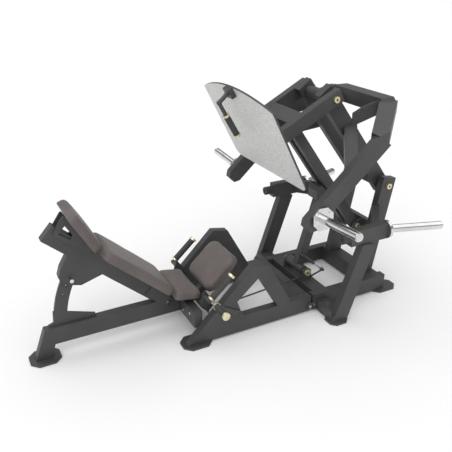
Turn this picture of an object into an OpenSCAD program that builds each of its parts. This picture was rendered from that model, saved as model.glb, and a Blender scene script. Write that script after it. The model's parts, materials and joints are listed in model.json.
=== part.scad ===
// Plate-loaded leg press on a swinging footplate carriage, real size in millimetres.
// X runs from the head end to the weight end, Y across the machine, Z up from the floor.

/* [Frame] */
// Height of the rectangular frame tube in its side view
tube_tall = 100; // [80:5:120]
// Width of the rectangular frame tube across the machine
tube_wide = 50; // [40:5:60]
// Distance from the centre plane to the middle of each base rail
rail_y = 265; // [240:5:300]
// Distance from the centre plane to the middle of each splayed rear leg
leg_y = 450; // [400:5:480]
// Distance from the centre plane to the middle of each pivot upright
upright_y = 170; // [160:5:190]

/* [Swinging lever] */
// Distance from the centre plane to the middle of each rocker tube
rocker_y = 102; // [98:1:106]
// Distance from the centre plane to the middle of each weight arm
arm_y = 445; // [400:5:480]
// Distance from the centre plane to the middle of each carriage arm
carriage_y = 162; // [158:1:170]
// Distance from the centre plane to the middle of each lower link tube
link_y = 45; // [40:1:50]

/* [Weight horns] */
// Diameter of the polished horns that take the weight plates
horn_dia = 50; // [25:1:50]
// Distance from the centre plane to the end of each loading horn
horn_reach = 800; // [700:10:850]

/* [Footplate] */
// Width of the footplate
plate_wide = 790; // [600:10:800]
// Height of the footplate along its own slope
plate_long = 490; // [400:10:600]
// Thickness of the footplate
plate_thick = 12; // [8:1:20]

/* [Pads] */
// Width of the back pad and the hip pad
pad_wide = 340; // [280:10:400]
// Thickness of all pads
pad_thick = 50; // [40:2:70]
// Slope of the backrest above level in degrees
back_slope = 42; // [38:1:44]

/* [Hidden] */
$fn = 48;
fit = 0.06;

rocker_pivot = [1075, 709];
carriage_pivot = [611, 1309];
link_pivot = [948, 412];
link_top = [440, 1112];
back_pivot = [-396, 176];
strut_pivot = [545, 170];
handle_top = [-34, 0, 1320];
handle_low = [79, 0, 1126];
grip_low = [-236, -rail_y, 262];
grip_high = [-92, -rail_y, 393];
plate_low = [290, 899];
plate_top = [65, 1334];
plate_arch = 75;
lever_pivot = [-55, 140];
crank_pin = [-45, 172];
strut_crank = [551, 127];
spring_top = [545, 268];
spring_eye = [700, 134];
arm_end = [[712, 1152], [798, 1094]];
arc_radius = 626;
arc_hole_angles = [151, 156.25, 161.5];
foot_thick = 12;
rail_top = foot_thick + tube_tall + 2;
spine_low = 90;
spine_top = 191;
dark = [0.27, 0.27, 0.27];
leather = [0.42, 0.39, 0.38];
chrome = [0.86, 0.86, 0.87];
gold = [0.83, 0.78, 0.62];
rubber = [0.12, 0.12, 0.12];
silver = [0.74, 0.74, 0.73];

// a straight tube in a side plane between two points given as [x, z]
module bar(a, b, y, tall = tube_tall, wide = tube_wide, before = 0, after = 0) {
  run = norm(b - a);
  tilt = atan2(b[1] - a[1], b[0] - a[0]);
  translate([a[0], y, a[1]])
    rotate([0, -tilt, 0])
      translate([-before, -wide / 2, -tall / 2])
        cube([run + before + after, wide, tall]);
}

// a flat plate cut to a side outline given as [x, z] points
module side_plate(outline, y, thick) {
  translate([0, y + thick / 2, 0])
    rotate([90, 0, 0])
      linear_extrude(height = thick)
        polygon(outline);
}

// a round bar across the machine at [x, z]
module cross_rod(at, y_from, y_to, radius) {
  translate([at[0], y_from, at[1]])
    rotate([-90, 0, 0])
      cylinder(h = y_to - y_from, r = radius);
}

// a round bar between two points in space
module rod(a, b, radius, sides = 48) {
  run = b - a;
  reach = norm(run);
  translate(a)
    rotate([0, acos(run[2] / reach), atan2(run[1], run[0])])
      rotate([0, 0, 180 / sides])
        cylinder(h = reach, r = radius, $fn = sides);
}

// a rectangular tube between two points in space, kept upright in section
module beam(a, b, tall, wide) {
  run = b - a;
  reach = norm(run);
  translate(a)
    rotate([0, -asin(run[2] / reach), atan2(run[1], run[0])])
      translate([0, -wide / 2, -tall / 2])
        cube([reach, wide, tall]);
}

// a tube box from its low corner to its high corner
module box(low, high) {
  translate(low)
    cube(high - low);
}

// the same shape on both sides of the centre plane
module both_sides() {
  children();
  mirror([0, 1, 0])
    children();
}

// a pad block: length, width, thickness, with softly rounded plan corners
module cushion(long, wide, thick, corner) {
  linear_extrude(height = thick)
    union() {
      square([long - 2 * corner, wide], center = true);
      square([long, wide - 2 * corner], center = true);
      for (sx = [-1, 1], sy = [-1, 1])
        translate([sx * (long / 2 - corner), sy * (wide / 2 - corner)])
          circle(r = corner);
    }
}

// places a shape so that its X follows the slope from a to b and its Z stands off it
module along(a, b) {
  tilt = atan2(b[1] - a[1], b[0] - a[0]);
  middle = (a + b) / 2;
  translate([middle[0], 0, middle[1]])
    rotate([0, -tilt, 0])
      children();
}

// one side of the front frame: sloping post, rail and rear brace with an open triangle
module front_side(y) {
  outline = [[-383, foot_thick], [460, foot_thick], [460, rail_top], [312, rail_top],
    [146, 412], [40, 432]];
  opening = [[78, 349], [213, rail_top], [-18, rail_top], [-40, 150], [-66, 223]];
  translate([0, y + tube_wide / 2, 0])
    rotate([90, 0, 0])
      linear_extrude(height = tube_wide)
        difference() {
          polygon(outline);
          polygon(opening);
        }
}

module front_frame_near() {
  color(dark)
    difference() {
      front_side(-rail_y);
      cross_rod(lever_pivot, -rail_y - 40, -rail_y + 40, 8 + fit);
    }
}

module front_frame_far() {
  color(dark)
    front_side(rail_y);
}

module front_crossbars() {
  inner = rail_y - tube_wide / 2;
  color(dark) {
    box([-318, -inner, spine_low], [-268, inner, spine_top]);
    box([405, -inner, foot_thick], [455, inner, rail_top]);
  }
}

module chamfered_foot(long, wide, cut) {
  linear_extrude(height = foot_thick)
    polygon([[-long / 2 + cut, -wide / 2], [long / 2 - cut, -wide / 2],
      [long / 2, -wide / 2 + cut], [long / 2, wide / 2 - cut],
      [long / 2 - cut, wide / 2], [-long / 2 + cut, wide / 2],
      [-long / 2, wide / 2 - cut], [-long / 2, -wide / 2 + cut]]);
}

module front_feet() {
  color(dark)
    both_sides()
      translate([-318, -rail_y + 10, 0])
        chamfered_foot(180, 140, 40);
}

module spine_tube() {
  outline = [[-1115, spine_top], [-319, spine_top], [-319, spine_low], [-1068, spine_low],
    [-1093, foot_thick], [-1183, foot_thick]];
  color(dark)
    difference() {
      side_plate(outline, 0, tube_wide);
      cross_rod(back_pivot, -40, 40, 8 + fit);
    }
}

module head_foot() {
  color(dark)
    translate([-1130, 0, 0])
      chamfered_foot(170, 150, 40);
}

// point at a radius and angle round the backrest pivot
function round_back(radius, angle) =
  [back_pivot[0] + radius * cos(angle), back_pivot[1] + radius * sin(angle)];

module adjuster_arc() {
  low = 172;
  high = 148.5;
  steps = 16;
  outer = [for (i = [0:steps]) round_back(662, low + (high - low) * i / steps)];
  inner = [for (i = [0:steps]) round_back(590, high + (low - high) * i / steps)];
  foot = [[-1086, spine_top + 0.5], [-822, spine_top + 0.5], [-826, 213], [-972, 262],
    [-1055, 285], [-1060, 216], [-1086, 206]];
  color(dark)
    difference() {
      union() {
        side_plate(concat(outer, inner), 0, 16);
        side_plate(foot, 0, 16);
        box([-1086, -24, spine_top], [-822, 24, spine_top + 6]);
      }
      for (angle = arc_hole_angles)
        cross_rod(round_back(arc_radius, angle), -20, 20, 6 + fit);
    }
}

module rear_rails() {
  color(dark)
    both_sides()
      box([476, -rail_y - tube_wide / 2, foot_thick],
        [1052, -rail_y + tube_wide / 2, rail_top]);
}

module rear_crossbars() {
  inner = rail_y - tube_wide / 2;
  color(dark) {
    box([503, -inner, foot_thick], [603, inner, rail_top]);
    box([930, -inner, foot_thick], [1030, inner, rail_top]);
  }
}

module rear_feet() {
  color(dark)
    both_sides()
      translate([1060, -rail_y + 8, 0])
        chamfered_foot(190, 130, 38);
}

// one splayed rear leg with its outrigger and floor plate
module rear_leg(y) {
  side = y < 0 ? -1 : 1;
  start = side * (rail_y + tube_wide / 2);
  color(dark)
    difference() {
      union() {
        bar([547, 0], [712, 470], y, before = 30, after = 30);
        box([500, min(start, y), foot_thick], [592, max(start, y), 70]);
        translate([548, y - side * 10, 0])
          chamfered_foot(130, 120, 30);
      }
      box([300, -700, -100], [900, 700, 0]);
      box([300, -700, 499], [1000, 700, 700]);
    }
}

module rear_leg_near() {
  rear_leg(-leg_y);
}

module rear_leg_far() {
  rear_leg(leg_y);
}

module side_bars() {
  color(dark)
    both_sides()
      box([596, -leg_y - 10, 500], [862, -leg_y + 40, 597]);
}

module bar_bumpers() {
  color(rubber)
    both_sides()
      difference() {
        translate([540, -leg_y + 15, 549])
          rotate([0, 90, 0])
            cylinder(h = 56, r = 28);
        translate([539, -leg_y + 15, 549])
          rotate([0, 90, 0])
            cylinder(h = 6, r = 8);
      }
}

module bar_ties() {
  color(dark)
    both_sides()
      difference() {
        beam([790, -leg_y + 20, 550], [1010, -upright_y, 550], 90, 46);
        box([700, -leg_y - 60, 400], [1000, -leg_y + 40, 700]);
        box([900, -upright_y - tube_wide / 2, 400], [1200, 0, 700]);
      }
}

module uprights() {
  foot = [968, rail_top];
  color(dark)
    both_sides()
      difference() {
        bar(foot, rocker_pivot, -upright_y, before = 20, after = 54);
        box([800, -300, 0], [1200, 0, rail_top]);
        cross_rod(rocker_pivot, -300, 0, 15 + fit);
      }
}

module upright_cross_tube() {
  inner = upright_y - tube_wide / 2;
  color(dark)
    translate([1021, -inner, 400])
      rotate([0, 10, 0])
        translate([-35, 0, -50])
          cube([50, 2 * inner, 100]);
}

module link_bracket() {
  outline = [[977, 354], [994.5, 452], [960, 452], [918, 430], [910, 400], [926, 378]];
  color(dark)
    both_sides()
      difference() {
        side_plate(outline, -79, 10);
        cross_rod(link_pivot, -100, -60, 12 + fit);
      }
}

module storage_horns() {
  root = [876, -leg_y + 15, 549];
  tip = [1202.2, -547, 552];
  run = (tip - root) / norm(tip - root);
  color(chrome)
    both_sides()
      union() {
        translate([863, -leg_y + 15, 549])
          rotate([0, 90, 0])
            cylinder(h = 18, r = 56);
        rod(root, root + run * 26, horn_dia / 2 + 8);
        rod(root, tip, horn_dia / 2);
        rod(tip - run, tip + run * 6, horn_dia / 2 - 3);
      }
}

module rocker_tubes() {
  color(dark)
    both_sides()
      difference() {
        bar(carriage_pivot, rocker_pivot, -rocker_y, before = 52, after = 44);
        cross_rod(rocker_pivot, -160, 0, 15 + fit);
        cross_rod(carriage_pivot, -160, 0, 15 + fit);
      }
}

module rocker_hub() {
  inner = rocker_y - tube_wide / 2;
  color(dark)
    difference() {
      union() {
        cross_rod(carriage_pivot, -inner, inner, 34);
        cross_rod(rocker_pivot, -inner, inner, 34);
      }
      cross_rod(carriage_pivot, -inner - 1, inner + 1, 15 + fit);
      cross_rod(rocker_pivot, -inner - 1, inner + 1, 15 + fit);
    }
}

// the bridge's splayed end, which meets the weight arm's mitred end edge
module lever_splay() {
  top = [958, -238, 1256];
  low = [735, -arm_y, 1120];
  end_edge = arm_end[1] - arm_end[0];
  arm_side = [arm_end[0] - end_edge * 2, arm_end[1] + end_edge * 2, [600, 700], [300, 900]];
  difference() {
    intersection() {
      beam(low - (top - low) * 0.45, top + (top - low) * 0.08, 88, 98);
      box([600, -arm_y - tube_wide / 2, 1000], [1008, -200, 1278]);
    }
    side_plate(arm_side, -arm_y - 40, tube_wide + 80);
  }
}

module lever_bridge() {
  end_shape = [[-258, 1202], [-258, 1256], [-222, 1292], [222, 1292], [258, 1256],
    [258, 1202]];
  color(dark) {
    translate([908, 0, 0])
      rotate([90, 0, 90])
        linear_extrude(height = 100)
          polygon(end_shape);
    both_sides()
      lever_splay();
  }
}

module lever_braces() {
  color(dark)
    both_sides()
      difference() {
        union() {
          beam([770, -rocker_y + 16, 1136], [940, -211, 1250], 76, 46);
          beam([800, -rocker_y, 1110], [560, -arm_y, 950], 60, 76);
        }
        box([300, -arm_y - 90, 700], [1100, -arm_y + 25, 1300]);
        box([300, -rocker_y - 25, 700], [1100, 0, 1400]);
        box([908, -258, 1202], [1008, 258, 1292]);
        lever_splay();
      }
}

module weight_arms() {
  outline = [arm_end[0], [262, 742], [254, 702], [290, 664], [330, 670], arm_end[1]];
  color(dark)
    both_sides()
      side_plate(outline, -arm_y, tube_wide);
}

module load_horns() {
  face = -arm_y - tube_wide / 2;
  root = [356, face - 6.2, 740];
  tip = [350, -horn_reach, 766];
  run = (tip - root) / norm(tip - root);
  color(chrome)
    both_sides()
      union() {
        cross_rod([356, 740], face - 10, face, 40);
        rod(root, root + run * 14, 70, 8);
        rod(root, tip - run * 6, horn_dia / 2);
        rod(tip - run * 7, tip, horn_dia / 2 - 3);
      }
}

// the footplate: straight sides, rounded lower corners and an arched top edge
module footplate() {
  half = plate_wide / 2;
  arch_radius = (half * half + plate_arch * plate_arch) / (2 * plate_arch);
  long = plate_long + plate_arch + 30;
  color(silver)
    along(plate_low, plate_top)
      translate([(plate_arch - 30) / 2, 0, -plate_thick])
        intersection() {
          cushion(long, plate_wide, plate_thick, 50);
          translate([long / 2 - arch_radius, 0, 0])
            cylinder(h = plate_thick, r = arch_radius, $fn = 180);
        }
}

module carriage_arms() {
  front = [200, 1092];
  color(dark)
    both_sides()
      difference() {
        bar(front, carriage_pivot, -carriage_y, tall = 80, before = 60, after = 48);
        cross_rod(carriage_pivot, -230, 0, 15 + fit);
        along(plate_low, plate_top)
          translate([0, 0, -plate_thick])
            translate([-500, -500, -1])
              cube([1000, 1000, 300]);
      }
}

module carriage_cross_tube() {
  inner = carriage_y - tube_wide / 2;
  centre = [340, 1165];
  outline = [[300, 1150], [400, 1190], [470, 1140], [466, 1095], [430, 1082], [330, 1120]];
  color(dark)
    difference() {
      union() {
        bar(centre, [430, 1213], 0, tall = 80, wide = 2 * inner);
        both_sides()
          side_plate(outline, -76, 10);
      }
      cross_rod(link_top, -100, 100, 12 + fit);
    }
}

// the bent bar that carries the grip, from the top of the footplate down to its lower end
module footplate_handle() {
  color(dark) {
    rod([30, 0, 1377], handle_top, 12);
    translate(handle_top)
      sphere(r = 14);
    rod(handle_top, handle_low, 11);
    along(plate_low, plate_top)
      translate([plate_long / 2 + 20, -36, 0])
        cube([58, 72, 28]);
  }
}

module handle_grip() {
  axis = (handle_low - handle_top) / norm(handle_low - handle_top);
  color(rubber)
    difference() {
      rod(handle_top + axis * 92, handle_low - axis * 6, 18);
      rod(handle_top, handle_low, 11 + fit);
    }
}

module handle_trim() {
  axis = (handle_low - handle_top) / norm(handle_low - handle_top);
  color(gold)
    difference() {
      union() {
        rod(handle_low - axis * 6, handle_low + axis * 8, 21);
        rod(handle_top + axis * 80, handle_top + axis * 92, 21);
      }
      rod(handle_top, handle_low, 11 + fit);
    }
}

module lower_link() {
  color(dark)
    difference() {
      union() {
        both_sides()
          bar(link_top, link_pivot, -link_y, tall = 60, wide = 40, before = 26, after = 20);
        cross_rod(link_top, -link_y, link_y, 26);
        cross_rod(link_pivot, -link_y, link_y, 26);
      }
      cross_rod(link_top, -80, 80, 14.2);
      cross_rod(link_pivot, -80, 80, 12 + fit);
    }
}

// a cross pin with a round domed head at both ends
module headed_pin(at, half, radius, head, head_long) {
  cross_rod(at, -half, half, radius);
  both_sides()
    cross_rod(at, -half - head_long, -half, head);
}

module rocker_pins() {
  color(gold)
    headed_pin(rocker_pivot, upright_y + tube_wide / 2 + 0.5, 15, 19, 14);
}

module carriage_pins() {
  color(gold)
    headed_pin(carriage_pivot, carriage_y + tube_wide / 2 + 0.5, 15, 19, 14);
}

module link_pins() {
  color(gold)
    headed_pin(link_pivot, 84.5, 12, 19, 14);
}

module link_top_pin() {
  color(dark)
    headed_pin(link_top, 81.5, 12, 17, 10);
}

module backrest_tube() {
  run = [cos(back_slope), -sin(back_slope)];
  rise = [sin(back_slope), cos(back_slope)];
  head_end = back_pivot - run * 868 + rise * 10;
  low_end = back_pivot - run * 99 + rise * 10;
  gusset = [[-930, 640], [-987, 546], [-1003, 496], [-999, 470], [-931, 433], [-889, 422],
    [-745, 466], [-760, 520]];
  closing = [[-930, 640], [-987, 546], [-1003, 496], [-999, 484], [-983, 484], [-984, 500],
    [-972, 540], [-905, 640]];
  lug = [low_end - run * 60 - rise * 38, low_end - run * 60 + rise * 36,
    low_end + rise * 36, back_pivot + rise * 34 + run * 4, back_pivot + run * 34,
    back_pivot - rise * 34 + run * 8, back_pivot - run * 26 - rise * 36];
  color(dark)
    difference() {
      union() {
        difference() {
          bar(head_end, low_end, 0, wide = 54);
          side_plate([round_back(672, 135), round_back(674, 144), round_back(672, 153),
            round_back(580, 153), round_back(580, 144), round_back(580, 135)], 0, 20);
        }
        both_sides() {
          side_plate(gusset, -23, 8);
          side_plate(lug, -30, 8);
        }
        side_plate(closing, 0, 50);
      }
      cross_rod(back_pivot, -60, 60, 8 + fit);
      cross_rod(round_back(arc_radius, arc_hole_angles[0]), -60, 60, 6 + fit);
    }
}

module head_pad_plates() {
  outline = [[-1000, 744], [-1004, 762], [-945, 846], [-936, 846], [-812, 625], [-822, 586],
    [-832, 590]];
  window = [[-975, 752], [-940, 790], [-905, 730], [-918, 706]];
  color(dark)
    both_sides()
      side_plate_with_window(outline, window, -31, 8);
}

module side_plate_with_window(outline, window, y, thick) {
  translate([0, y + thick / 2, 0])
    rotate([90, 0, 0])
      linear_extrude(height = thick)
        difference() {
          polygon(outline);
          polygon(window);
        }
}

module back_pad() {
  run = [cos(back_slope), -sin(back_slope)];
  rise = [sin(back_slope), cos(back_slope)];
  high = back_pivot - run * 592 + rise * 60.5;
  low = back_pivot - run * 87 + rise * 60.5;
  color(leather)
    along(high, low)
      cushion(norm(high - low), pad_wide, pad_thick, 30);
}

module head_pad() {
  low = [-819, 639];
  high = [-946, 866];
  color(leather)
    along(high, low)
      cushion(norm(high - low), 300, pad_thick, 30);
}

module hip_pad() {
  color(leather)
    along([-402, 249], [-236, 221])
      cushion(172, pad_wide, pad_thick, 30);
}

module hip_pad_bracket() {
  outline = [[-356, spine_top], [-272, spine_top], [-272, 226.8], [-356, 241]];
  color(dark)
    side_plate(outline, 0, 120);
}

module seat_pad() {
  low = [-171, 218];
  high = [32, 406];
  color(leather)
    along(low, high)
      cushion(norm(high - low), 320, pad_thick, 40);
}

module seat_bracket() {
  low = [-150, 236];
  high = [10, 384];
  color(dark)
    union() {
      along(low, high)
        translate([-100, -110, -9])
          cube([200, 220, 8]);
      bar([-255, 140], [-92, 236], 0, tall = 44);
      translate([-228, -200, 205])
        rotate([0, -43, 0])
          translate([-30, 0, -50])
            cube([50, 400, 62]);
    }
}

module grip_brackets() {
  color(dark)
    both_sides() {
      side_plate([[-237, 304], [-193, 244], [-214, 140], [-264, 224]], -204, 8);
      cross_rod([grip_low[0], grip_low[2]], -rail_y - 8, -206, 13);
      rod(grip_low, grip_high, 11);
    }
}

module side_grips() {
  run = (grip_high - grip_low) / norm(grip_high - grip_low);
  color(rubber)
    both_sides()
      difference() {
        rod(grip_low + run * 26, grip_high - run * 8, 19);
        rod(grip_low, grip_high, 11 + fit);
      }
}

module grip_trim() {
  low = grip_low;
  high = grip_high;
  run = (high - low) / norm(high - low);
  color(gold)
    both_sides()
      union() {
        difference() {
          rod(low + run * 15, low + run * 26, 22);
          rod(low, low + run * 40, 11 + fit);
        }
        difference() {
          rod(high - run * 8, high + run * 6, 22);
          rod(high - run * 20, high, 11 + fit);
        }
      }
}

module release_lever() {
  outer = -rail_y - tube_wide / 2;
  outline = [[-222, 236], [-214, 262], [-196, 262], [-150, 216], [-42, 158], [-34, 140],
    [-40, 122], [-62, 118], [-78, 130], [-160, 194]];
  crank = [[-69, 132], [-57, 182], [-36, 182], [-38, 132]];
  color(dark) {
    side_plate(outline, outer - 6, 8);
    cross_rod(lever_pivot, outer - 14, -204, 8);
    side_plate(crank, -208, 8);
    cross_rod([-209, 246], outer - 132, outer - 8, 10);
    cross_rod(crank_pin, -204.5, -190, 5);
  }
}

module release_grip() {
  outer = -rail_y - tube_wide / 2;
  color(rubber)
    difference() {
      cross_rod([-209, 246], outer - 126, outer - 24, 19);
      cross_rod([-209, 246], outer - 127, outer - 23, 10 + fit);
    }
}

module release_trim() {
  outer = -rail_y - tube_wide / 2;
  color(gold)
    difference() {
      union() {
        cross_rod([-209, 246], outer - 140, outer - 126, 23);
        cross_rod([-209, 246], outer - 24, outer - 14, 22);
      }
      cross_rod([-209, 246], outer - 132, outer - 10, 10 + fit);
    }
}

module pull_rod() {
  a = [crank_pin[0], -197, crank_pin[1]];
  b = [strut_crank[0], -77, strut_crank[1]];
  run = (b - a) / norm(b - a);
  color(dark)
    difference() {
      union() {
        rod(a + run * 9, b - run * 9, 5);
        cross_rod(crank_pin, -202, -192, 11);
        cross_rod(strut_crank, -82, -72, 11);
      }
      cross_rod(crank_pin, -210, -180, 5 + fit);
      cross_rod(strut_crank, -95, -60, 6);
    }
}

module safety_strut() {
  top = [690, 660];
  crank = [[528, 176], [562, 176], [563, 121], [539, 121]];
  head = [[632, 640], [628, 700], [642, 730], [662, 733], [690, 711], [722, 668], [742, 630]];
  color(dark)
    difference() {
      union() {
        bar(strut_pivot, top, 0, tall = 54);
        cross_rod(strut_pivot, -80, 100, 30);
        side_plate(crank, -64, 8);
        side_plate(head, 0, 100);
        cross_rod(strut_crank, -83, -66, 4.5);
        cross_rod(spring_top, -66, -20, 6);
      }
      cross_rod(strut_pivot, -110, 110, 13 + fit);
    }
}

module strut_hub_lugs() {
  outline = [[505, rail_top], [585, rail_top], [575, 186], [558, 200], [532, 200], [515, 186]];
  color(dark)
    both_sides()
      difference() {
        side_plate(outline, -106, 10);
        cross_rod(strut_pivot, -120, -90, 13 + fit);
      }
}

module strut_pin() {
  color(gold)
    headed_pin(strut_pivot, 111.5, 13, 22, 12);
}

module spring_cylinder() {
  a = [spring_top[0], -58, spring_top[1]];
  b = [spring_eye[0], -58, spring_eye[1]];
  run = (b - a) / norm(b - a);
  color(dark)
    difference() {
      union() {
        rod(a + run * 8, a + run * 118, 10);
        cross_rod(spring_top, -64, -52, 11);
      }
      rod(a + run * 60, a + run * 130, 6);
      cross_rod(spring_top, -80, -40, 6 + fit);
    }
}

module spring_rod() {
  a = [spring_top[0], -58, spring_top[1]];
  b = [spring_eye[0], -58, spring_eye[1]];
  run = (b - a) / norm(b - a);
  color(chrome)
    difference() {
      union() {
        rod(a + run * 82, b - run * 8, 5);
        cross_rod(spring_eye, -64, -52, 12);
      }
      cross_rod(spring_eye, -80, -40, 6 + fit);
    }
}

module spring_bracket() {
  color(dark) {
    rod([606, -72, 106], [spring_eye[0], -72, spring_eye[1]], 6);
    cross_rod(spring_eye, -81, -65, 9);
    cross_rod(spring_eye, -70, -49, 6);
    box([603, -81, 97], [614, -63, 115]);
  }
}

module adjuster_pin() {
  at = round_back(arc_radius, arc_hole_angles[0]);
  color(chrome)
    union() {
      cross_rod(at, -54, -12, 6);
      cross_rod(at, -64, -52, 11);
    }
}

module frame_bolts() {
  outer = rail_y + tube_wide / 2;
  color(chrome) {
    both_sides() {
      for (at = [[-318, -87, 133], [-318, -186, 161]])
        translate(at)
          rotate([0, -90, 0])
            cylinder(h = 8, r = 9);
      for (x = [448, 484])
        translate([x, -outer - 8, 48])
          rotate([90, 0, 0])
            cylinder(h = 8, r = 9);
      translate([548, -outer - 60, 70])
        cylinder(h = 8, r = 9);
    }
    cross_rod(back_pivot, -35, 35, 8);
    both_sides()
      cross_rod(back_pivot, -46, -34.5, 14);
  }
}

module bolt_plates() {
  outer = rail_y + tube_wide / 2;
  color(dark)
    both_sides()
      box([432, -outer - 8, 30], [499, -outer, 66]);
}

front_frame_near();
front_frame_far();
front_crossbars();
front_feet();
spine_tube();
head_foot();
adjuster_arc();
rear_rails();
rear_crossbars();
rear_feet();
rear_leg_near();
rear_leg_far();
side_bars();
bar_bumpers();
bar_ties();
uprights();
upright_cross_tube();
link_bracket();
storage_horns();
rocker_tubes();
rocker_hub();
lever_bridge();
lever_braces();
weight_arms();
load_horns();
footplate();
carriage_arms();
carriage_cross_tube();
footplate_handle();
handle_grip();
handle_trim();
lower_link();
rocker_pins();
carriage_pins();
link_pins();
link_top_pin();
backrest_tube();
head_pad_plates();
back_pad();
head_pad();
hip_pad();
hip_pad_bracket();
seat_pad();
seat_bracket();
grip_brackets();
side_grips();
grip_trim();
release_lever();
release_grip();
release_trim();
pull_rod();
safety_strut();
strut_hub_lugs();
strut_pin();
spring_cylinder();
spring_rod();
spring_bracket();
adjuster_pin();
frame_bolts();
bolt_plates();
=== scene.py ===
import json
import math

import bmesh
import bpy
from mathutils import Matrix, Vector
from mathutils.bvhtree import BVHTree


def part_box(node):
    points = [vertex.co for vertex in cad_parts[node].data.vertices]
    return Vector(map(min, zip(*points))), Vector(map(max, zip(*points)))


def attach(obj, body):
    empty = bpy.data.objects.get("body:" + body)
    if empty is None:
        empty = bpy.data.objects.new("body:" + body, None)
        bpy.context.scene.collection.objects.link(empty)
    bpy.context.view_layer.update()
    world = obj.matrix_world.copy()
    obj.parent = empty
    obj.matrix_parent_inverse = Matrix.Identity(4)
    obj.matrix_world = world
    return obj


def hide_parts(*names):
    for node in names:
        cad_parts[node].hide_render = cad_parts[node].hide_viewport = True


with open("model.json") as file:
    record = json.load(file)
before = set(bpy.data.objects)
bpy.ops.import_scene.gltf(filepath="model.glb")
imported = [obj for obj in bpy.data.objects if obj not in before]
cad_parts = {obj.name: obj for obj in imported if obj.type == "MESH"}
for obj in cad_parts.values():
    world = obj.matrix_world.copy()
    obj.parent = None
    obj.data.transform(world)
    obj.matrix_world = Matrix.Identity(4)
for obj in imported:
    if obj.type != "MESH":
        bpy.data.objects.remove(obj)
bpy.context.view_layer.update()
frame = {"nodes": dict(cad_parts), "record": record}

scene = bpy.context.scene
nodes = frame["nodes"]
slot_of = {part["node"]: part["material_slot"] for part in frame["record"]["subparts"]}


# ---- materials -------------------------------------------------------------

class Recipe:
    """A node material under construction, with the few node set-ups it needs."""

    def __init__(self, name):
        self.material = bpy.data.materials.new(name)
        self.material.use_nodes = True
        self.tree = self.material.node_tree
        self.shader = self.tree.nodes["Principled BSDF"]
        self.place = self.node("ShaderNodeTexCoord").outputs["Object"]

    def node(self, kind, **values):
        made = self.tree.nodes.new(kind)
        for name, value in values.items():
            if name in made.inputs:
                made.inputs[name].default_value = value
            else:
                setattr(made, name, value)
        return made

    def link(self, source, target):
        self.tree.links.new(source, target)

    def noise(self, scale, detail=3.0):
        made = self.node("ShaderNodeTexNoise", Scale=scale, Detail=detail)
        self.link(self.place, made.inputs["Vector"])
        return made.outputs["Fac"]

    def cells(self, scale, feature="F1"):
        made = self.node("ShaderNodeTexVoronoi", feature=feature, Scale=scale)
        self.link(self.place, made.inputs["Vector"])
        return made.outputs["Distance"]

    def ramp(self, value, dark, light, low=0.3, high=0.7):
        made = self.node("ShaderNodeValToRGB")
        made.color_ramp.elements[0].position = low
        made.color_ramp.elements[0].color = (*dark, 1)
        made.color_ramp.elements[1].position = high
        made.color_ramp.elements[1].color = (*light, 1)
        self.link(value, made.inputs["Fac"])
        return made.outputs["Color"]

    def roughness(self, value, low, high):
        made = self.node("ShaderNodeMapRange")
        made.inputs["To Min"].default_value = low
        made.inputs["To Max"].default_value = high
        self.link(value, made.inputs["Value"])
        self.link(made.outputs["Result"], self.shader.inputs["Roughness"])

    def bump(self, height, depth, strength=1.0, below=None):
        made = self.node("ShaderNodeBump", Strength=strength, Distance=depth)
        self.link(height, made.inputs["Height"])
        if below:
            self.link(below, made.inputs["Normal"])
        return made.outputs["Normal"]

    def soft_edges(self, radius):
        return self.node("ShaderNodeBevel", Radius=radius, samples=4).outputs["Normal"]

    def finish(self, colour=None, normal=None, **values):
        for name, value in values.items():
            self.shader.inputs[name.replace("_", " ")].default_value = value
        if colour:
            self.link(colour, self.shader.inputs["Base Color"])
        if normal:
            self.link(normal, self.shader.inputs["Normal"])
        return self.material


def powder_coat():
    """Dark charcoal paint: fine orange peel, slightly rubbed edges, faint cloudiness."""
    r = Recipe("powder_coat")
    cloud = r.noise(5.0, 4.0)
    colour = r.ramp(cloud, (0.040, 0.040, 0.041), (0.052, 0.052, 0.053))
    r.roughness(r.noise(30.0), 0.42, 0.56)
    peel = r.bump(r.noise(620.0, 2.0), 0.0004, 0.35, r.soft_edges(0.0035))
    return r.finish(colour, peel, Specular_IOR_Level=0.5)


def upholstery():
    """Taupe synthetic leather with a pebbled grain."""
    r = Recipe("upholstery")
    colour = r.ramp(r.noise(9.0, 5.0), (0.098, 0.082, 0.077), (0.125, 0.106, 0.100))
    r.roughness(r.noise(60.0), 0.50, 0.64)
    pebbles = r.bump(r.cells(420.0), 0.0008, 0.5)
    normal = r.bump(r.noise(160.0, 4.0), 0.0009, 0.35, pebbles)
    return r.finish(colour, normal, Sheen_Weight=0.08, Specular_IOR_Level=0.4)


def polished():
    """Bright plated steel, slightly streaked."""
    r = Recipe("polished_chrome")
    r.roughness(r.noise(45.0, 4.0), 0.10, 0.22)
    colour = r.ramp(r.noise(12.0), (0.62, 0.61, 0.61), (0.74, 0.73, 0.73))
    return r.finish(colour, r.soft_edges(0.0015), Metallic=1.0)


def pale_gold():
    """Champagne-coloured metal of the trim rings and bolt faces."""
    r = Recipe("pale_gold")
    r.roughness(r.noise(90.0, 4.0), 0.24, 0.38)
    colour = r.ramp(r.noise(20.0), (0.68, 0.60, 0.38), (0.80, 0.73, 0.52))
    return r.finish(colour, r.soft_edges(0.0015), Metallic=0.85)


def moulded_rubber():
    """Black rubber of the grips and bumpers."""
    r = Recipe("moulded_rubber")
    colour = r.ramp(r.noise(18.0, 4.0), (0.030, 0.030, 0.031), (0.046, 0.046, 0.047))
    r.roughness(r.noise(70.0), 0.55, 0.75)
    return r.finish(colour, r.bump(r.cells(560.0), 0.0006, 0.55, r.soft_edges(0.002)))


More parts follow.
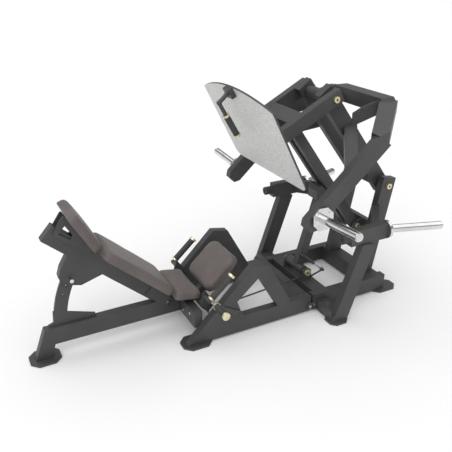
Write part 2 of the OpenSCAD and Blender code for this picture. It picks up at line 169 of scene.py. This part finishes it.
def tread_plate(front):
    """Light embossed sheet on the face that is pushed on, dark paint on its edge and back."""
    dark_paint = (0.045, 0.045, 0.046, 1)
    facing_limit = 0.9
    r = Recipe("tread_plate")
    facing = r.node("ShaderNodeVectorMath", operation="DOT_PRODUCT")
    facing.inputs[1].default_value = front
    r.link(r.node("ShaderNodeNewGeometry").outputs["True Normal"], facing.inputs[0])
    is_front = r.node("ShaderNodeMath", operation="GREATER_THAN")
    is_front.inputs[1].default_value = facing_limit
    r.link(facing.outputs["Value"], is_front.inputs[0])
    pips = r.cells(115.0, "SMOOTH_F1")
    sheet = r.ramp(pips, (0.70, 0.70, 0.69), (0.50, 0.50, 0.49), 0.15, 0.65)
    mix = r.node("ShaderNodeMix", data_type="RGBA")
    r.link(is_front.outputs["Value"], mix.inputs["Factor"])
    for socket in mix.inputs:
        if socket.identifier == "A_Color":
            socket.default_value = dark_paint
        if socket.identifier == "B_Color":
            r.link(sheet, socket)
    colour = next(s for s in mix.outputs if s.identifier == "Result_Color")
    r.roughness(r.noise(300.0), 0.38, 0.55)
    return r.finish(colour, r.bump(pips, 0.0012, 0.6), Specular_IOR_Level=0.5)


def paint_socket_shade():
    """Painted shade: a near-black colour that stands in for the shadow at the bottom of a
    screw's socket.
    """
    r = Recipe("painted_socket_shade")
    colour = r.ramp(r.noise(200.0), (0.010, 0.010, 0.010), (0.022, 0.022, 0.022))
    return r.finish(colour, Roughness=0.6)


# the way the footplate's face points
plate_front = (-0.888, 0.0, -0.459)
finishes = {
    "frame_paint": powder_coat(),
    "leather": upholstery(),
    "chrome": polished(),
    "gold_metal": pale_gold(),
    "rubber": moulded_rubber(),
    "tread_plate": tread_plate(plate_front),
}
# near-black painted shade for the bottoms of the screw sockets
painted_socket_shade = paint_socket_shade()

for name, node in nodes.items():
    for material_slot in node.material_slots:
        material_slot.material = finishes[slot_of[name]]


# ---- helpers ---------------------------------------------------------------

def add_mesh(name, mesh, body, material):
    """Puts a finished mesh into the scene as a piece that moves with a body."""
    piece = bpy.data.objects.new(name, mesh)
    scene.collection.objects.link(piece)
    piece.data.materials.clear()
    piece.data.materials.append(material)
    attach(piece, body)
    return piece


def from_bmesh(bm, name, smooth=True):
    mesh = bpy.data.meshes.new(name)
    bmesh.ops.recalc_face_normals(bm, faces=bm.faces)
    bm.to_mesh(mesh)
    bm.free()
    for polygon in mesh.polygons:
        polygon.use_smooth = smooth
    return mesh


def tube_along(points, radius, name):
    """A round bead that follows a closed loop of points."""
    sides = 8
    bm = bmesh.new()
    rings = []
    count = len(points)
    for i, point in enumerate(points):
        ahead = points[(i + 1) % count] - points[i - 1]
        ahead.normalize()
        side = ahead.cross(Vector((0, 1, 0)))
        if side.length < 0.2:
            side = ahead.cross(Vector((0, 0, 1)))
        side.normalize()
        up = ahead.cross(side).normalized()
        ring = []
        for k in range(sides):
            turn = 2 * math.pi * k / sides
            away = side * math.cos(turn) + up * math.sin(turn)
            ring.append(bm.verts.new(point + away * radius))
        rings.append(ring)
    for i in range(count):
        a, b = rings[i], rings[(i + 1) % count]
        shift = min(range(sides), key=lambda s: (a[0].co - b[s].co).length)
        for k in range(sides):
            bm.faces.new((a[k], a[(k + 1) % sides],
                          b[(k + 1 + shift) % sides], b[(k + shift) % sides]))
    return from_bmesh(bm, name)


# ---- upholstery ------------------------------------------------------------

# metres, and shares of a pad's thickness
COVER_INSET = 0.004
ROLLED_EDGE = 0.020
COVER_VOXEL = 0.006
PUFF_LIMIT = 0.006
SIDE_PULL = 0.004
HELD_SHARE = 0.35
SEAM_HEIGHT = 0.60
SEAM_SPACING = 0.02
SEAM_RADIUS = 0.0014
SEAM_SINK = 0.0004
SIMULATED_FRAMES = 20


def turned(slope):
    """The rotation that lays a level pad onto a slope, in degrees above +X."""
    return Matrix.Rotation(-math.radians(slope), 4, "Y")


def inflate(cover, low, high):
    """Blows the cover up a little with a cloth simulation and caps how far it moves."""
    start = [v.co.copy() for v in cover.data.vertices]
    cloth = cover.modifiers.new("cover", "CLOTH")
    cloth.settings.use_pressure = True
    cloth.settings.uniform_pressure_force = 4.0
    cloth.settings.quality = 4
    cloth.settings.mass = 0.3
    cloth.settings.tension_stiffness = 30
    cloth.settings.compression_stiffness = 30
    cloth.settings.effector_weights.gravity = 0.0
    cloth.point_cache.frame_start = 1
    cloth.point_cache.frame_end = SIMULATED_FRAMES
    for step in range(1, SIMULATED_FRAMES + 1):
        scene.frame_set(step)
    shape = cover.evaluated_get(bpy.context.evaluated_depsgraph_get())
    moved = [v.co.copy() for v in shape.data.vertices]
    cover.modifiers.remove(cloth)
    scene.frame_set(1)
    held_height = HELD_SHARE * (high.z - low.z)
    for vertex, before, after in zip(cover.data.vertices, start, moved):
        push = after - before
        if push.length > PUFF_LIMIT:
            push = push * (PUFF_LIMIT / push.length)
        freedom = min(1.0, max(0.0, (before.z - low.z) / held_height))
        vertex.co = before + push * freedom


def baked(cover):
    """The cover's mesh with its modifiers applied."""
    shape = cover.evaluated_get(bpy.context.evaluated_depsgraph_get())
    return bpy.data.meshes.new_from_object(shape)


def rolled_block(name, middle, size, top_height, corner):
    """A level block with round upright corners and a rolled top edge."""
    bm = bmesh.new()
    bmesh.ops.create_cube(bm, size=1.0)
    for vertex in bm.verts:
        vertex.co = Vector([vertex.co[i] * (size[i] - COVER_INSET) for i in range(3)]) + middle
    upright = [e for e in bm.edges if abs(e.verts[0].co.z - e.verts[1].co.z) > 0.01]
    bmesh.ops.bevel(bm, geom=upright, offset=corner, segments=6, profile=0.5, affect="EDGES")
    top = [e for e in bm.edges if all(v.co.z > top_height - COVER_INSET for v in e.verts)]
    bmesh.ops.bevel(bm, geom=top, offset=ROLLED_EDGE, segments=4, profile=0.5, affect="EDGES")
    block = bpy.data.objects.new(name, from_bmesh(bm, name))
    scene.collection.objects.link(block)
    return block


def crown_cover(cover, middle, size, low, crown):
    """Raises the middle of the top and pulls the sides in between the corners."""
    for vertex in cover.data.vertices:
        u = (vertex.co.x - middle.x) / (size.x / 2)
        v = (vertex.co.y - middle.y) / (size.y / 2)
        rise = max(0.0, (vertex.co.z - low.z) / size.z)
        vertex.co.z += crown * rise * max(0.0, 1 - u * u) * max(0.0, 1 - v * v)
        pull = SIDE_PULL * math.sin(math.pi * min(1.0, rise)) * (1 - min(1.0, abs(u * v)))
        vertex.co.y -= pull * v
        vertex.co.x -= pull * u


def rounded_loop(size, corner):
    """Evenly spaced points round a level rectangle with round corners."""
    half_x, half_y = size.x / 2 - corner, size.y / 2 - corner
    outline = []
    for quarter, (cx, cy) in enumerate([(half_x, half_y), (-half_x, half_y),
                                        (-half_x, -half_y), (half_x, -half_y)]):
        for step in range(7):
            angle = math.radians(90 * quarter + 15 * step)
            outline.append(Vector((cx + corner * math.cos(angle),
                                   cy + corner * math.sin(angle), 0)))
    count = len(outline)
    loop = []
    for i in range(count):
        a, b = outline[i], outline[(i + 1) % count]
        pieces = max(1, round((b - a).length / SEAM_SPACING))
        loop += [a.lerp(b, k / pieces) for k in range(pieces)]
    return loop


def seam_on(mesh, middle, size, low, corner):
    """A loop of points on the cover's side, a little below the rolled edge."""
    skin = BVHTree.FromPolygons([v.co for v in mesh.vertices],
                                [p.vertices for p in mesh.polygons])
    seam = []
    for point in rounded_loop(size, corner):
        outside = middle + point * 1.3
        outside.z = low.z + size.z * SEAM_HEIGHT
        target = middle + point * 0.5
        target.z = outside.z
        hit, normal, _, _ = skin.ray_cast(outside, (target - outside).normalized())
        if hit:
            seam.append(hit - normal * SEAM_SINK)
    return seam


def cushion(node, body, slope, corner=0.034, crown=0.006):
    """A crowned pad with rolled edges and a sewn seam, in place of its plain CAD block."""
    turn = turned(slope)
    back = turn.inverted()
    corners = [back @ v.co for v in nodes[node].data.vertices]
    low = Vector([min(c[i] for c in corners) for i in range(3)])
    high = Vector([max(c[i] for c in corners) for i in range(3)])
    size, middle = high - low, (high + low) / 2

    cover = rolled_block(node + "_cover", middle, size, high.z, corner)
    remesh = cover.modifiers.new("even", "REMESH")
    remesh.mode = "VOXEL"
    remesh.voxel_size = COVER_VOXEL
    even = baked(cover)
    cover.modifiers.clear()
    cover.data = even

    inflate(cover, low, high)
    crown_cover(cover, middle, size, low, crown)
    smooth = cover.modifiers.new("smooth", "SMOOTH")
    smooth.iterations = 6
    smooth.factor = 0.5
    finer = cover.modifiers.new("finer", "SUBSURF")
    finer.levels = 1
    finer.render_levels = 1
    final = baked(cover)
    bpy.data.objects.remove(cover)
    for polygon in final.polygons:
        polygon.use_smooth = True

    seam = [turn @ p for p in seam_on(final, middle, size, low, corner)]
    seam_mesh = tube_along(seam, SEAM_RADIUS, node + "_seam")
    final.transform(turn)
    pad = add_mesh(node + "_cushion", final, body, finishes["leather"])
    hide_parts(node)
    add_mesh(node + "_seam", seam_mesh, body, finishes["leather"])


cushion("back_pad", "backrest", -42.0)
cushion("head_pad", "backrest", -60.8)
cushion("hip_pad", "frame", -9.6, crown=0.004)
cushion("seat_pad", "frame", 42.8, corner=0.058, crown=0.010)


# ---- bolt faces ------------------------------------------------------------

def bolt_face(name, body, centre, side, radius):
    """A chamfered gold head with a washer lip and a hexagon socket, facing along Y."""
    sides = 36
    relief = 0.35
    socket_share = 0.40
    bm = bmesh.new()
    profile = [(1.0, 0.0), (1.0, 0.10), (0.90, 0.20), (0.45, 0.22), (socket_share, 0.10)]
    rings = []
    for share, out in profile:
        ring = []
        for k in range(sides):
            turn = 2 * math.pi * k / sides
            reach = radius * share
            if share == socket_share:
                reach *= math.cos(math.pi / 6) / math.cos((turn % (math.pi / 3)) - math.pi / 6)
            ring.append(bm.verts.new(centre + Vector((math.cos(turn) * reach,
                                                      side * out * radius * relief,
                                                      math.sin(turn) * reach))))
        rings.append(ring)
    for a, b in zip(rings, rings[1:]):
        for k in range(sides):
            bm.faces.new((a[k], a[(k + 1) % sides], b[(k + 1) % sides], b[k]))
    head = from_bmesh(bm, name, smooth=False)
    add_mesh(name, head, body, finishes["gold_metal"])

    # a near-black hexagon sheet in the socket, painted shade standing in for the socket's
    # shadow
    bm = bmesh.new()
    corners = [Vector((math.cos(k * math.pi / 3) * radius * socket_share,
                       side * radius * 0.04,
                       math.sin(k * math.pi / 3) * radius * socket_share)) for k in range(6)]
    bm.faces.new([bm.verts.new(centre + corner) for corner in corners])
    socket = from_bmesh(bm, name, smooth=False)
    add_mesh(name + "_socket", socket, body, painted_socket_shade)


def dress_pin(node, body, radius):
    """Bolt faces on both ends of a cross pin."""
    low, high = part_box(node)
    x, z = (low.x + high.x) / 2, (low.z + high.z) / 2
    for end, side, y in (("near", -1, low.y), ("far", 1, high.y)):
        bolt_face(f"{node}_face_{end}", body, Vector((x, y, z)), side, radius)


def dome_bolt(name, body, centre, axis, radius):
    """A small domed screw head standing on a face."""
    sides = 18
    turn = axis.normalized().to_track_quat("Z", "Y").to_matrix()
    profile = [(1.0, 0.0), (1.0, 0.25), (0.85, 0.5), (0.5, 0.65), (0.4, 0.65), (0.36, 0.4)]
    bm = bmesh.new()
    rings = []
    for share, out in profile:
        ring = []
        for k in range(sides):
            angle = 2 * math.pi * k / sides
            point = Vector((math.cos(angle) * share, math.sin(angle) * share, out))
            ring.append(bm.verts.new(centre + turn @ (point * radius)))
        rings.append(ring)
    for a, b in zip(rings, rings[1:]):
        for k in range(sides):
            bm.faces.new((a[k], a[(k + 1) % sides], b[(k + 1) % sides], b[k]))
    bm.faces.new(rings[-1])
    add_mesh(name, from_bmesh(bm, name, smooth=False), body, finishes["chrome"])


pin_face = 0.019
dress_pin("rocker_pins", "frame", pin_face)
dress_pin("carriage_pins", "carriage", pin_face)
dress_pin("link_pins", "frame", pin_face)
dress_pin("strut_pin", "frame", 0.022)

# four screws round each loading-horn flange
screw_circle = 0.052
screw_radius = 0.007
mounts = {m["name"]: m for m in frame["record"]["mounts"]}
for end in ("near", "far"):
    horn = mounts["load_horn_" + end]
    out = Vector(horn["axis"]).normalized()
    root = Vector(horn["pos_m"]) - out * (horn["dims"]["length_mm"] / 2000)
    across = out.cross(Vector((0, 0, 1))).normalized()
    up = across.cross(out)
    for k in range(4):
        turn = math.radians(45 + 90 * k)
        spot = root + (across * math.cos(turn) + up * math.sin(turn)) * screw_circle
        dome_bolt(f"flange_screw_{end}_{k}", "rocker", spot, out, screw_radius)


# ---- floor, light and camera -----------------------------------------------

reach = 150.0
# just below the feet, so that the two surfaces don't share a plane
depth = -0.001
floor_mesh = bpy.data.meshes.new("floor")
floor_mesh.from_pydata([(-reach, -reach, depth), (reach, -reach, depth),
                        (reach, reach, depth), (-reach, reach, depth)], [], [(0, 1, 2, 3)])
floor = bpy.data.objects.new("floor", floor_mesh)
scene.collection.objects.link(floor)
floor_paint = Recipe("floor")
floor.data.materials.append(floor_paint.finish(Base_Color=(0.85, 0.85, 0.85, 1), Roughness=0.8))

world = bpy.data.worlds.new("studio")
scene.world = world
world.use_nodes = True
sky = world.node_tree
direction = sky.nodes.new("ShaderNodeTexCoord")
height = sky.nodes.new("ShaderNodeSeparateXYZ")
sky.links.new(direction.outputs["Generated"], height.inputs[0])
# pale near the horizon and greyer overhead
falloff = sky.nodes.new("ShaderNodeMapRange")
for name, value in (("From Min", 0.10), ("From Max", 0.42), ("To Min", 0.82), ("To Max", 0.20)):
    falloff.inputs[name].default_value = value
sky.links.new(height.outputs["Z"], falloff.inputs["Value"])
sky.nodes["Background"].inputs["Color"].default_value = (1.0, 1.0, 1.0, 1)
sky.links.new(falloff.outputs["Result"], sky.nodes["Background"].inputs["Strength"])


def sun(name, direction, strength, softness):
    """A broad studio light that falls evenly on the whole floor."""
    light = bpy.data.lights.new(name, "SUN")
    light.energy = strength
    light.angle = math.radians(softness)
    lamp = bpy.data.objects.new(name, light)
    scene.collection.objects.link(lamp)
    lamp.rotation_euler = Vector(direction).to_track_quat("-Z", "Y").to_euler()


sun("overhead", (0.10, 0.05, -1.0), 2.6, 110)
sun("front", (0.55, 0.70, -0.75), 0.7, 50)

camera = bpy.data.cameras.new("camera")
camera.lens = 46.56
camera.sensor_width = 36.0
camera.clip_end = 200.0
eye = bpy.data.objects.new("camera", camera)
scene.collection.objects.link(eye)
eye.location = (-1.451, -2.824, 2.058)
eye.rotation_euler = (math.radians(64.966), 0.0, math.radians(-27.342))
scene.camera = eye

scene.view_settings.view_transform = "Standard"
